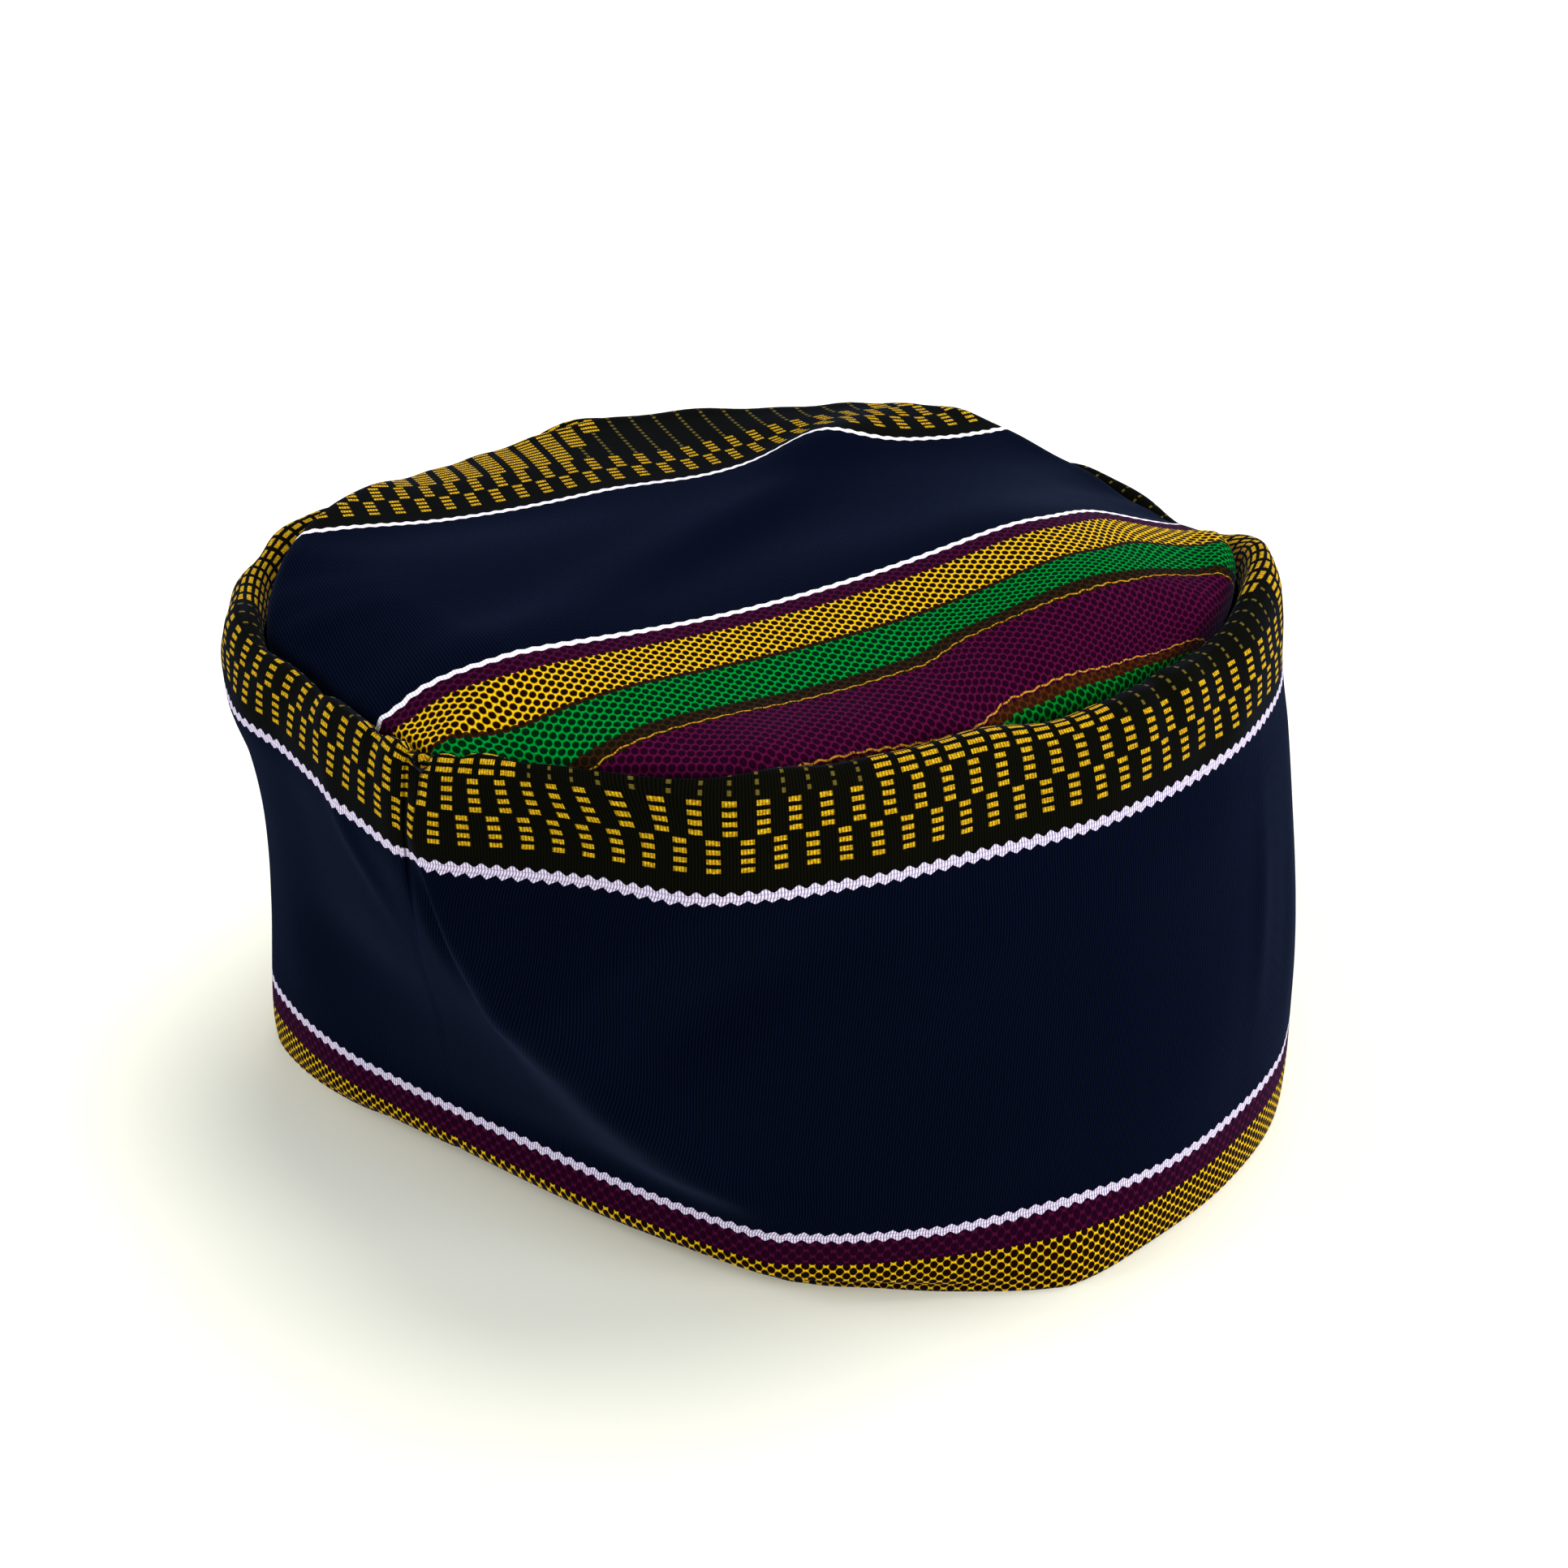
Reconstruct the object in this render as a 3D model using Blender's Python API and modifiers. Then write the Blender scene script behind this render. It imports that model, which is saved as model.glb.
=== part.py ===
"""Kufi: a round cloth cap, with a tall side band closed by one seam and a soft crown inside its rolled edge.

Metres, +Z up. The cap stands on its hem at z = 0, with the middle of its plan near the origin.
The long axis of its oval runs along X, and the band's seam is on the front left, at -X and -Y.
"""

from collections import namedtuple

import bmesh
import bpy
import numpy as np

MM = 0.001
NAME = "kufi"

# The middle of the cap's plan in the frame that the tables below are drawn in, in mm
PLAN_SHIFT = (-0.8, 9.3)

# Cloth walls, and the clearance between the two sewn pieces
BAND_WALL = 1.9 * MM
CROWN_WALL = 1.6 * MM
SEWING_GAP = 0.4 * MM

# Columns of the mesh between one fold and the next
COLUMNS_PER_FOLD = 4

# The folds of the band, one row each, going round from the seam to the right as seen from the front, in mm.
# top is the place of the white line woven under the rolled edge and low that of the one above the hem, so a
# fold runs across the navy band between them. high and deep are how far it stands out a third and two thirds
# of the way down. lean is how far the lower edge stands out beyond the low line, and lift its height above the
# floor. roll is the width of the rolled edge and rise its height over the top line. puff is how far the crown
# stands over the crease beside the roll. soft is 0 for a sharp fold and 1 for a smooth bend.
Fold = namedtuple("Fold", "name top_x top_y top_z low_x low_y low_z high deep lean lift roll rise puff soft")
BAND_FOLDS = [Fold._make(row) for row in [
    ("seam",            -61.0, -61.5, 84.0,  -61.0, -42.0, 15.0,  0.5,  0.0, -0.8, 7.0,  6.5, 18.5, 2.5, 0.3),
    ("under the seam",  -58.8, -63.8, 84.0,  -34.0, -58.5, 15.0,  3.0,  1.5, -0.8, 7.0,  6.8, 18.5, 2.5, 0.5),
    ("long crease",     -54.5, -65.2, 84.2,   -4.0, -75.0, 15.0, 10.0,  7.5, -0.5, 6.0,  7.0, 18.5, 2.5, 0.5),
    ("light facet",     -38.0, -69.0, 85.0,    5.0, -76.2, 15.0,  6.5,  3.0, -0.5, 5.0,  7.5, 18.0, 2.5, 0.8),
    ("brow",             -8.0, -78.0, 87.0,   15.0, -76.0, 15.0, -0.5, -0.5,  0.0, 4.5,  8.5, 18.5, 2.5, 0.9),
    ("right of brow",    12.0, -73.5, 86.8,   30.0, -74.5, 15.5,  0.0,  0.0,  0.5, 3.0,  9.5, 18.0, 2.5, 1.0),
    ("hem corner",       32.0, -64.5, 86.5,   50.0, -69.0, 16.5,  1.0,  1.5,  4.0, 2.4, 11.0, 17.0, 2.5, 0.6),
    ("front right",      54.0, -53.0, 86.0,   68.0, -59.5, 15.5,  1.5,  1.5,  2.0, 2.4, 11.0, 16.5, 2.5, 1.0),
    ("right shoulder",   75.5, -34.5, 86.0,   84.5, -45.0, 15.0,  1.5,  1.5,  1.5, 2.4, 11.0, 17.0, 2.5, 1.0),
    ("right edge",       89.5, -14.5, 86.0,   98.5, -25.5, 15.0,  1.2,  1.5,  1.0, 2.4, 10.0, 19.5, 4.5, 1.0),
    ("right side",       96.0,   9.0, 86.5,  106.5,   5.0, 15.0,  1.0,  1.0,  0.5, 2.4,  9.5, 22.0, 7.4, 1.0),
    ("right back",       89.0,  38.0, 84.5,   97.5,  38.0, 15.0,  0.5,  0.5,  0.5, 2.4,  9.0, 15.0, 5.5, 1.0),
    ("back right",       72.0,  66.0, 85.0,   73.0,  64.0, 15.0,  0.0,  0.5,  0.0, 2.4,  8.5, 17.0, 6.5, 1.0),
    ("back",             43.0,  90.0, 86.0,   38.0,  81.0, 15.0,  0.0,  0.0,  0.0, 2.4,  8.0, 12.0, 15.0, 1.0),
    ("back middle",       0.0,  98.0, 86.5,   -4.0,  87.0, 15.0,  0.0,  0.0,  0.0, 2.4,  8.0, 12.0, 12.5, 1.0),
    ("back left",       -46.0,  90.5, 86.5,  -47.0,  79.0, 15.0,  0.5,  0.5,  0.0, 2.4,  8.0, 19.0, 6.0, 1.0),
    ("left back",       -79.5,  70.0, 86.0,  -81.0,  60.0, 15.0,  0.5,  0.5,  0.0, 2.4,  8.0, 10.5, 9.5, 1.0),
    ("left side",       -99.5,  38.0, 86.0, -101.5,  32.0, 15.0, -0.5,  0.0,  0.5, 2.4,  8.0, 17.0, 7.4, 1.0),
    ("left edge",      -106.0,   5.0, 86.5, -107.0,   1.0, 15.0, -3.0, -2.5,  1.0, 2.4,  9.0, 15.5, 5.5, 1.0),
    ("left shoulder",   -99.0, -17.0, 86.5,  -99.0, -12.5, 15.0, -2.5, -2.0,  0.8, 2.8,  7.0, 15.0, 2.5, 1.0),
    ("front left",      -85.5, -32.5, 86.0,  -86.0, -25.5, 15.0, -1.5, -2.0,  0.3, 4.0,  6.5, 14.0, 2.5, 1.0),
    ("left of seam",    -72.0, -49.5, 85.0,  -74.0, -33.8, 15.0, -0.5, -1.0, -0.5, 5.5,  6.5, 16.0, 2.5, 1.0),
]]

# Sections of the navy wall between the two lines, as shares of the way down
WALL_SHARES = (0.0, 0.17, 0.36, 0.57, 0.79, 1.0)

# The hem below the low line: the height of its flat foot, and how far the cloth turns in for each mm of lift
FOOT_HEIGHT = 1.4
TURN_IN = 1.3
LEAST_LIFT = 2.4

# The rolled edge above the top line: its inset in shares of the roll's width, and its height in shares of its
# rise. The crown is sewn to it at the crease.
RollSection = namedtuple("RollSection", "name inset height")
ROLL_SECTIONS = [
    RollSection("strip",      0.05, 0.30),
    RollSection("shoulder",   0.18, 0.61),
    RollSection("turn",       0.38, 0.89),
    RollSection("top",        0.62, 1.00),
    RollSection("inner side", 0.87, 0.95),
    RollSection("crease",     1.00, 0.80),
    RollSection("lip",        1.04, 0.59),
]
ROLL_CREASE = 0.80

# How far along the line the roll's direction is evened out, in mm, so that it turns the seam's corner smooth
CORNER_EASE = 12.0

# The crown's edge, from its turned-down rim, in mm: how far it lies inside the lip, how far it drops below the
# crease, and its share of the puff, the height that the crown stands over the crease at each fold
EdgeSection = namedtuple("EdgeSection", "name inset drop puff")
CROWN_EDGE = [
    EdgeSection("rim end",  0.6, 3.4, 0.0),
    EdgeSection("rim",      0.5, 1.2, 0.0),
    EdgeSection("shoulder", 1.2, 0.0, 0.5),
    EdgeSection("top",      3.6, 0.0, 1.0),
]

# The crown's field, drawn in rings towards its middle. Near the edge it blends into the sewn rim.
CROWN_MIDDLE = (-4.0, 6.0)
CROWN_RINGS = (0.93, 0.84, 0.73, 0.60, 0.45, 0.29, 0.14)
CROWN_BASE = 106.0
EDGE_BLEND = 0.25

# Soft waves of the crown: hills and hollows with their middle, half length, half width, bearing and height
Wave = namedtuple("Wave", "name x y half_length half_width bearing height")
CROWN_WAVES = [
    Wave("right hill",     58.0, -20.0, 60.0, 22.0, 105.0,  6.0),
    Wave("middle swell",   30.0,   2.0, 38.0, 20.0,  26.0,  4.5),
    Wave("left swell",    -42.0, -33.0, 34.0, 14.0,  26.0,  2.2),
    Wave("front dip",       4.0, -46.0, 26.0, 11.0,  26.0, -1.8),
    Wave("navy ridge",    -12.0,  22.0, 60.0, 11.0,  58.0,  2.0),
    Wave("ridge end",      6.0,  60.0, 15.0,  6.5,  50.0,  3.2),
    Wave("back hill",      22.0,  78.0, 30.0, 16.0,   0.0,  3.5),
    Wave("back left dip", -56.0,  34.0, 36.0, 16.0,  26.0, -2.5),
]

BAND_CLOTH = ("striped_band_cloth", (0.010, 0.016, 0.045, 1.0), 0.85)
CROWN_CLOTH = ("striped_crown_cloth", (0.045, 0.010, 0.035, 1.0), 0.85)


def clear_scene():
    for thing in list(bpy.data.objects):
        bpy.data.objects.remove(thing, do_unlink=True)


def smooth_loop(rows, chords, softness, steps):
    """Closed curves through the table's rows, with the same number of steps from each row to the next.

    rows holds one line of numbers for each fold, chords the distance from each to the next, and softness how
    far each is rounded: at 0 the curves meet there in a corner.
    """
    count = len(rows)
    slopes = [(rows[(i + 1) % count] - rows[i]) / chords[i] for i in range(count)]
    finer = []
    for i in range(count):
        ends = []
        for k in (i, (i + 1) % count):
            before, after = chords[k - 1], chords[k]
            rounded = (slopes[k - 1] * after + slopes[k] * before) / (before + after)
            ends.append(softness[k] * rounded + (1 - softness[k]) * slopes[i])
        for step in range(steps):
            t = step / steps
            finer.append(
                rows[i] * (2 * t**3 - 3 * t**2 + 1)
                + rows[(i + 1) % count] * (3 * t**2 - 2 * t**3)
                + ends[0] * chords[i] * (t**3 - 2 * t**2 + t)
                + ends[1] * chords[i] * (t**3 - t**2)
            )
    return np.array(finer)


def band_columns():
    """The fold table made finer, as a dictionary of one array for each of its columns."""
    names = Fold._fields[1:-1]
    rows = np.array([fold[1:-1] for fold in BAND_FOLDS], float)
    softness = [fold.soft for fold in BAND_FOLDS]
    middles = (rows[:, 0:2] + rows[:, 3:5]) / 2
    chords = np.linalg.norm(np.roll(middles, -1, axis=0) - middles, axis=1)
    finer = smooth_loop(rows, chords, softness, COLUMNS_PER_FOLD)
    return {name: finer[:, k] for k, name in enumerate(names)}


def outward(plan):
    """Unit vectors that point out of a closed plan curve, which runs anticlockwise."""
    along = np.roll(plan, -1, axis=0) - np.roll(plan, 1, axis=0)
    along /= np.linalg.norm(along, axis=1)[:, None]
    return np.stack([along[:, 1], -along[:, 0]], axis=1)


def eased(direction, plan, reach):
    """The directions along a closed plan curve, evened out over a reach on each side."""
    steps = np.linalg.norm(np.roll(plan, -1, axis=0) - plan, axis=1)
    place = np.cumsum(steps) - steps
    apart = np.abs(place[:, None] - place[None, :])
    apart = np.minimum(apart, steps.sum() - apart)
    weight = np.exp(-((apart / reach) ** 2)) * ((steps + np.roll(steps, 1)) / 2)[None, :]
    even = weight @ direction
    return even / np.linalg.norm(even, axis=1)[:, None]


def ring(plan, direction, distance, height):
    """A ring of points: a plan curve pushed along its directions and set at a height, all in mm."""
    plan = plan + direction * np.broadcast_to(distance, len(plan))[:, None]
    return np.column_stack([plan, np.broadcast_to(height, len(plan))])


def bulge(share, high, deep):
    """How far the wall stands out at a share of the way down, through what it does at each third."""
    near_high = 13.5 * share * (share - 2 / 3) * (share - 1)
    near_deep = -13.5 * share * (share - 1 / 3) * (share - 1)
    return near_high * high + near_deep * deep


def band_rings(fold):
    """The outer face of the side band, from its foot on the floor to the lip of its rolled edge."""
    top = np.column_stack([fold["top_x"], fold["top_y"]])
    low = np.column_stack([fold["low_x"], fold["low_y"]])
    roll_out, low_out = eased(outward(top), top, CORNER_EASE), outward(low)
    foot = fold["lean"] - TURN_IN * (fold["lift"] - LEAST_LIFT)
    rings = [
        ring(low, low_out, foot, 0.0),
        ring(low, low_out, foot, FOOT_HEIGHT),
        ring(low, low_out, fold["lean"], fold["lift"]),
        ring(low, low_out, 0.65 * fold["lean"], (fold["low_z"] + fold["lift"]) / 2),
    ]
    for share in reversed(WALL_SHARES):
        plan = top + (low - top) * share
        stands_out = bulge(share, fold["high"], fold["deep"])
        height = fold["top_z"] + (fold["low_z"] - fold["top_z"]) * share
        rings.append(ring(plan, outward(plan), stands_out, height))
    for section in ROLL_SECTIONS:
        height = fold["top_z"] + section.height * fold["rise"]
        rings.append(ring(top, roll_out, -section.inset * fold["roll"], height))
    return rings


def crown_height(x, y):
    """Height in mm of the crown's field over a place in plan."""
    height = np.full_like(x, CROWN_BASE)
    for wave in CROWN_WAVES:
        bearing = np.radians(wave.bearing)
        dx, dy = x - wave.x, y - wave.y
        along = dx * np.cos(bearing) + dy * np.sin(bearing)
        across = dy * np.cos(bearing) - dx * np.sin(bearing)
        height += wave.height * np.exp(-((along / wave.half_length) ** 2) - (across / wave.half_width) ** 2)
    return height


def crown_rings(fold):
    """The upper face of the crown panel, from its turned-down rim to the ring round its middle."""
    top = np.column_stack([fold["top_x"], fold["top_y"]])
    direction = eased(outward(top), top, CORNER_EASE)
    lip = ROLL_SECTIONS[-1].inset * fold["roll"]
    crease = fold["top_z"] + ROLL_CREASE * fold["rise"]
    rings = [
        ring(
            top,
            direction,
            -(lip + SEWING_GAP / MM + section.inset),
            crease - section.drop + section.puff * fold["puff"],
        )
        for section in CROWN_EDGE
    ]
    edge = rings[-1]
    middle = np.array(CROWN_MIDDLE)
    for share in CROWN_RINGS:
        plan = middle + (edge[:, :2] - middle) * share
        rim = max(0.0, 1 - (1 - share) / EDGE_BLEND) ** 2
        height = rim * edge[:, 2] + (1 - rim) * crown_height(plan[:, 0], plan[:, 1])
        rings.append(np.column_stack([plan, height]))
    return rings


def placed(point):
    """A point of the tables, in mm, as one in metres from the middle of the cap."""
    return (point - np.array([*PLAN_SHIFT, 0.0])) * MM


def lofted_sheet(name, rings, middle=None):
    """An open sheet of cloth through the rings, closed over a middle point where one is given."""
    mesh = bmesh.new()
    rows = [[mesh.verts.new(placed(point)) for point in one] for one in rings]
    for lower, upper in zip(rows, rows[1:]):
        for k in range(len(lower)):
            j = (k + 1) % len(lower)
            mesh.faces.new((lower[k], lower[j], upper[j], upper[k]))
    if middle is not None:
        hub = mesh.verts.new(placed(np.array(middle)))
        last = rows[-1]
        for k in range(len(last)):
            mesh.faces.new((last[k], last[(k + 1) % len(last)], hub))
    data = bpy.data.meshes.new(name)
    mesh.to_mesh(data)
    mesh.free()
    return bpy.data.objects.new(name, data)


def thicken(sheet, wall):
    """Gives the sheet its wall, on the inner side."""
    solidify = sheet.modifiers.new("cloth", "SOLIDIFY")
    solidify.thickness = wall
    solidify.offset = -1.0
    solidify.use_quality_normals = True


def dress(sheet, cloth):
    """Gives the sheet its own cloth material and smooth shading."""
    name, colour, roughness = cloth
    material = bpy.data.materials.new(name)
    material.use_nodes = True
    shader = material.node_tree.nodes["Principled BSDF"]
    shader.inputs["Base Color"].default_value = colour
    shader.inputs["Roughness"].default_value = roughness
    shader.inputs["Metallic"].default_value = 0.0
    sheet.data.materials.append(material)
    sheet.data.shade_smooth()


def make_side_band(fold):
    """The tall band round the head, with its hem turned under and its top edge rolled over to the crown."""
    band = lofted_sheet("side_band", band_rings(fold))
    thicken(band, BAND_WALL)
    dress(band, BAND_CLOTH)
    return band


def make_crown_top(fold):
    """The soft panel over the head, sewn inside the band's rolled edge by its turned-down rim."""
    x, y = CROWN_MIDDLE
    height = crown_height(np.array([x]), np.array([y]))[0]
    crown = lofted_sheet("crown_top", crown_rings(fold), middle=(x, y, height))
    thicken(crown, CROWN_WALL)
    dress(crown, CROWN_CLOTH)
    return crown


def main():
    clear_scene()
    collection = bpy.data.collections.new(NAME)
    bpy.context.scene.collection.children.link(collection)
    fold = band_columns()
    for piece in (make_side_band(fold), make_crown_top(fold)):
        collection.objects.link(piece)


main()
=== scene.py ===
"""The looks of the kufi: a cap of one striped woven cloth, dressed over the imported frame.

Metres, +Z up, in the frame of the CAD part. The tables of folds and stripes are in millimetres.
"""

import math
from collections import namedtuple
from functools import partial

import bpy
import numpy as np
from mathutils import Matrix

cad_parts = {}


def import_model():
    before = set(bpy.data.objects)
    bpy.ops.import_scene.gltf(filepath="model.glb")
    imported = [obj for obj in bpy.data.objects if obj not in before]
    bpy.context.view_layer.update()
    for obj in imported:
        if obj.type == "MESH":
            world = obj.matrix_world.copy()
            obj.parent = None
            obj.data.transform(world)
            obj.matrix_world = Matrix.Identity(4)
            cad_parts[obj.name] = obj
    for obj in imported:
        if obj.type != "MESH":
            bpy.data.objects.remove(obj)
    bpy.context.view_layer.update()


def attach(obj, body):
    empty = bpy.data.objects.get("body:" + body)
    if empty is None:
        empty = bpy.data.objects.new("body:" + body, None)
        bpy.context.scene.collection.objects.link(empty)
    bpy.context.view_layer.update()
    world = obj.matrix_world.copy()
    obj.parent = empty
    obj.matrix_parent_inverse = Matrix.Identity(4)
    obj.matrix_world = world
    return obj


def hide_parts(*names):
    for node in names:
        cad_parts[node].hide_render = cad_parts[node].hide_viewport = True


MM = 0.001

# The middle of the cap's plan in the frame that the fold tables are drawn in, in mm
PLAN_SHIFT = (-0.8, 9.3)

# Thickness of the two walls of cloth and the gap between them where they are sewn, in mm
BAND_WALL = 1.9
CROWN_WALL = 1.6
SEWING_GAP = 0.4

# The folds of the band, nearly as in the solid part, with more columns between them

COLUMNS_PER_FOLD = 16
Fold = namedtuple("Fold", "name top_x top_y top_z low_x low_y low_z high deep lean lift roll rise puff soft")
BAND_FOLDS = [Fold._make(row) for row in [
    ("seam",           -61.0, -61.5, 84.0,  -61.0, -42.0, 15.0,  0.5,  0.0, -0.8, 7.0,  6.5, 18.5, 2.5, 0.1),
    ("under the seam", -58.8, -63.8, 84.0,  -34.0, -58.5, 15.0,  3.4,  2.0, -0.8, 7.0,  6.8, 18.5, 2.5, 0.5),
    ("long crease",    -54.5, -65.2, 84.2,   -4.0, -75.0, 15.0,  9.4,  7.0, -0.5, 6.0,  7.0, 18.5, 2.5, 1.0),
    ("light facet",    -38.0, -69.0, 85.0,    5.0, -76.2, 15.0,  6.5,  3.0, -0.5, 5.0,  7.5, 18.0, 2.5, 0.8),
    ("brow",            -8.0, -78.0, 87.0,   15.0, -76.0, 15.0, -0.5, -0.5,  0.0, 4.5,  8.5, 18.5, 2.5, 0.9),
    ("right of brow",   12.0, -73.5, 86.8,   30.0, -74.5, 15.5,  0.0,  0.0,  0.5, 3.0,  9.5, 18.0, 2.5, 1.0),
    ("hem corner",      32.0, -64.5, 86.5,   50.0, -69.0, 16.5,  1.0,  1.5,  4.0, 2.4, 11.0, 17.0, 2.5, 0.6),
    ("front right",     54.0, -53.0, 86.0,   68.0, -59.5, 15.5,  1.5,  1.5,  2.0, 2.4, 11.0, 16.5, 2.5, 1.0),
    ("right shoulder",  75.5, -34.5, 86.0,   84.5, -45.0, 15.0,  1.5,  1.5,  1.5, 2.4, 11.0, 17.0, 2.5, 1.0),
    ("right edge",      89.5, -14.5, 86.0,   98.5, -25.5, 15.0,  1.2,  1.5,  1.0, 2.4, 10.0, 19.5, 4.5, 1.0),
    ("right side",      96.0,   9.0, 86.5,  106.5,   5.0, 15.0,  1.0,  1.0,  0.5, 2.4,  9.5, 22.0, 5.0, 1.0),
    ("right back",      89.0,  38.0, 84.5,   97.5,  38.0, 15.0,  0.5,  0.5,  0.5, 2.4,  9.0, 15.0, 6.5, 1.0),
    ("back right",      72.0,  66.0, 85.0,   73.0,  64.0, 15.0,  0.0,  0.5,  0.0, 2.4,  8.5, 17.0, 6.5, 1.0),
    ("back",            43.0,  90.0, 86.0,   38.0,  81.0, 15.0,  0.0,  0.0,  0.0, 2.4,  8.0, 12.0, 15.0, 1.0),
    ("back middle",      0.0,  98.0, 86.5,   -4.0,  87.0, 15.0,  0.0,  0.0,  0.0, 2.4,  8.0, 12.0, 12.5, 1.0),
    ("back left",      -46.0,  90.5, 86.5,  -47.0,  79.0, 15.0,  0.5,  0.5,  0.0, 2.4,  8.0, 19.0, 6.0, 1.0),
    ("left back",      -79.5,  70.0, 86.0,  -81.0,  60.0, 15.0,  0.5,  0.5,  0.0, 2.4,  8.0, 10.5, 9.5, 1.0),
    ("left side",      -99.5,  38.0, 86.0, -101.5,  32.0, 15.0, -0.5,  0.0,  0.5, 2.4,  8.0, 17.0, 7.4, 1.0),
    ("left edge",     -106.0,   5.0, 86.5, -107.0,   1.0, 15.0, -3.0, -2.5,  1.0, 2.4,  9.0, 15.5, 5.5, 1.0),
    ("left shoulder",  -99.0, -17.0, 86.5,  -99.0, -12.5, 15.0, -2.5, -2.0,  0.8, 2.8,  7.0, 15.0, 2.5, 1.0),
    ("front left",     -85.5, -32.5, 86.0,  -86.0, -25.5, 15.0, -1.5, -2.0,  0.3, 4.0,  6.5, 14.0, 2.5, 1.0),
    ("left of seam",   -72.0, -49.5, 85.0,  -74.0, -33.8, 15.0, -0.5, -1.0, -0.5, 5.5,  6.5, 16.0, 2.5, 1.0),
]]
# The rings of the wall, as shares of the way down from the white line to the low line
WALL_SHARES = (1.0, 0.79, 0.57, 0.36, 0.17, 0.0)
# The hem: the height of its foot, how far it turns in for each mm of lift beyond the least, and that least
FOOT_HEIGHT = 1.4
TURN_IN = 1.3
LEAST_LIFT = 2.4
# The rings of the rolled edge: how far in, as a share of its roll, and how high, as a share of its rise
RollSection = namedtuple("RollSection", "name inset height")
ROLL_SECTIONS = [
    RollSection("strip",      0.05, 0.30),
    RollSection("shoulder",   0.18, 0.61),
    RollSection("turn",       0.38, 0.89),
    RollSection("top",        0.62, 1.00),
    RollSection("inner side", 0.87, 0.95),
    RollSection("crease",     1.00, 0.80),
    RollSection("lip",        1.04, 0.59),
]
ROLL_CREASE = next(section.height for section in ROLL_SECTIONS if section.name == "crease")
# How far along a ring its directions are evened out: a length in mm, or a share of a small ring
CORNER_EASE = 12.0
EASE_SHARE = 0.05

# Rows of the mesh in each step across the cloth: four below the low line, five of wall, seven of rolled edge
BAND_ROWS = (2, 3, 4, 4) + (8,) * 5 + (5,) * 7
HEM_RINGS = 4

# The crown's edge, field and soft waves, nearly as in the solid part

# The rings of the crown's edge: how far in and down in mm, and how high as a share of the puff
EdgeSection = namedtuple("EdgeSection", "name inset drop puff")
CROWN_EDGE = [
    EdgeSection("rim end",  0.6, 3.4, 0.0),
    EdgeSection("rim",      0.5, 1.2, 0.0),
    EdgeSection("shoulder", 1.2, 0.0, 0.5),
    EdgeSection("top",      3.6, 0.0, 1.0),
]
# The crown's field: its middle, its rings as shares of the way out, its height, and the share that blends
# into the edge
CROWN_MIDDLE = (-4.0, 6.0)
CROWN_RINGS = tuple(share / 100 for share in range(96, 0, -2)) + (0.006,)
CROWN_BASE = 106.0
EDGE_BLEND = 0.25
# Where the outer rings of the crown run longer than this for each mm of plan, its cloth lies longer too
STEEP_EDGE = 1.12
CROWN_EDGE_RINGS = 24
# The gathers inside the crown's edge, in mm: their height, where they begin and are full, and their reach
GATHER_HEIGHT = 0.7
GATHER_START = (0.5, 4.0)
GATHER_REACH = 7.0
Wave = namedtuple("Wave", "name x y half_length half_width bearing height")
CROWN_WAVES = [
    Wave("right hill",     58.0, -20.0, 60.0, 22.0, 105.0,  6.0),
    Wave("middle swell",   30.0,   2.0, 38.0, 20.0,  26.0,  4.5),
    Wave("left swell",    -42.0, -33.0, 34.0, 14.0,  26.0,  2.2),
    Wave("front dip",       4.0, -46.0, 26.0, 11.0,  26.0, -1.8),
    Wave("navy ridge",    -12.0,  22.0, 60.0,  9.0,  58.0,  2.8),
    Wave("ridge end",      6.0,  60.0, 15.0,  6.5,  50.0,  3.2),
    Wave("back hill",      22.0,  78.0, 30.0, 16.0,   0.0,  3.5),
    Wave("back left dip", -56.0,  34.0, 36.0, 16.0,  26.0, -2.5),
]

# Creases and hollows of the band's cloth: x runs along it from the seam and y down from the upper white line
BAND_WAVES = [
    Wave("facet ridge",    38.0,  12.0, 18.0,  5.5, -39.0,  3.2),
    Wave("under facet",    53.0,  25.0, 21.0,  8.0, -39.0, -2.8),
    Wave("seam valley",     7.0,  11.0, 11.0,  3.0,  68.0, -2.3),
    Wave("seam fold",       2.6, -17.0,  8.0,  2.2,  90.0, -0.9),
    Wave("left facet",    -15.0,   7.0, 12.0,  3.2,  54.0,  1.0),
    Wave("front hem",      18.0,  78.5, 46.0,  7.0,   0.0,  3.0),
    Wave("left hollow",   -24.0,  43.0, 20.0, 10.0, -10.0, -1.6),
    Wave("right swell",   106.0,  14.0, 26.0, 13.0,   0.0,  2.6),
    Wave("right streak",  186.0,  40.0, 22.0,  3.5,  90.0,  0.7),
    Wave("near streak",   169.0,  32.0, 20.0,  3.0,  90.0,  0.5),
    Wave("small pucker",   24.0, -22.5,  5.0,  4.0,   0.0, -1.5),
    Wave("long pucker",    50.0, -22.5, 13.0,  4.0,   0.0, -1.6),
    Wave("seam pleat",      4.5, -19.0,  8.0,  1.5,  86.0, -1.0),
    Wave("second pleat",   12.0, -20.0,  7.0,  1.7,  97.0, -0.8),
    Wave("left pleat",     -9.0, -18.0,  9.0,  2.2,  80.0, -0.8),
    Wave("corner pleat",  -30.0, -18.0,  9.0,  2.6,  75.0, -0.8),
    Wave("right pleat",   140.0, -17.0,  9.0,  2.6, 100.0, -0.8),
]
# Beyond this place along the band, in mm, its lozenges of bars lie this many columns further on
LOZENGE_CUT = 295.5
LOZENGE_SHIFT = 6.4
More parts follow.
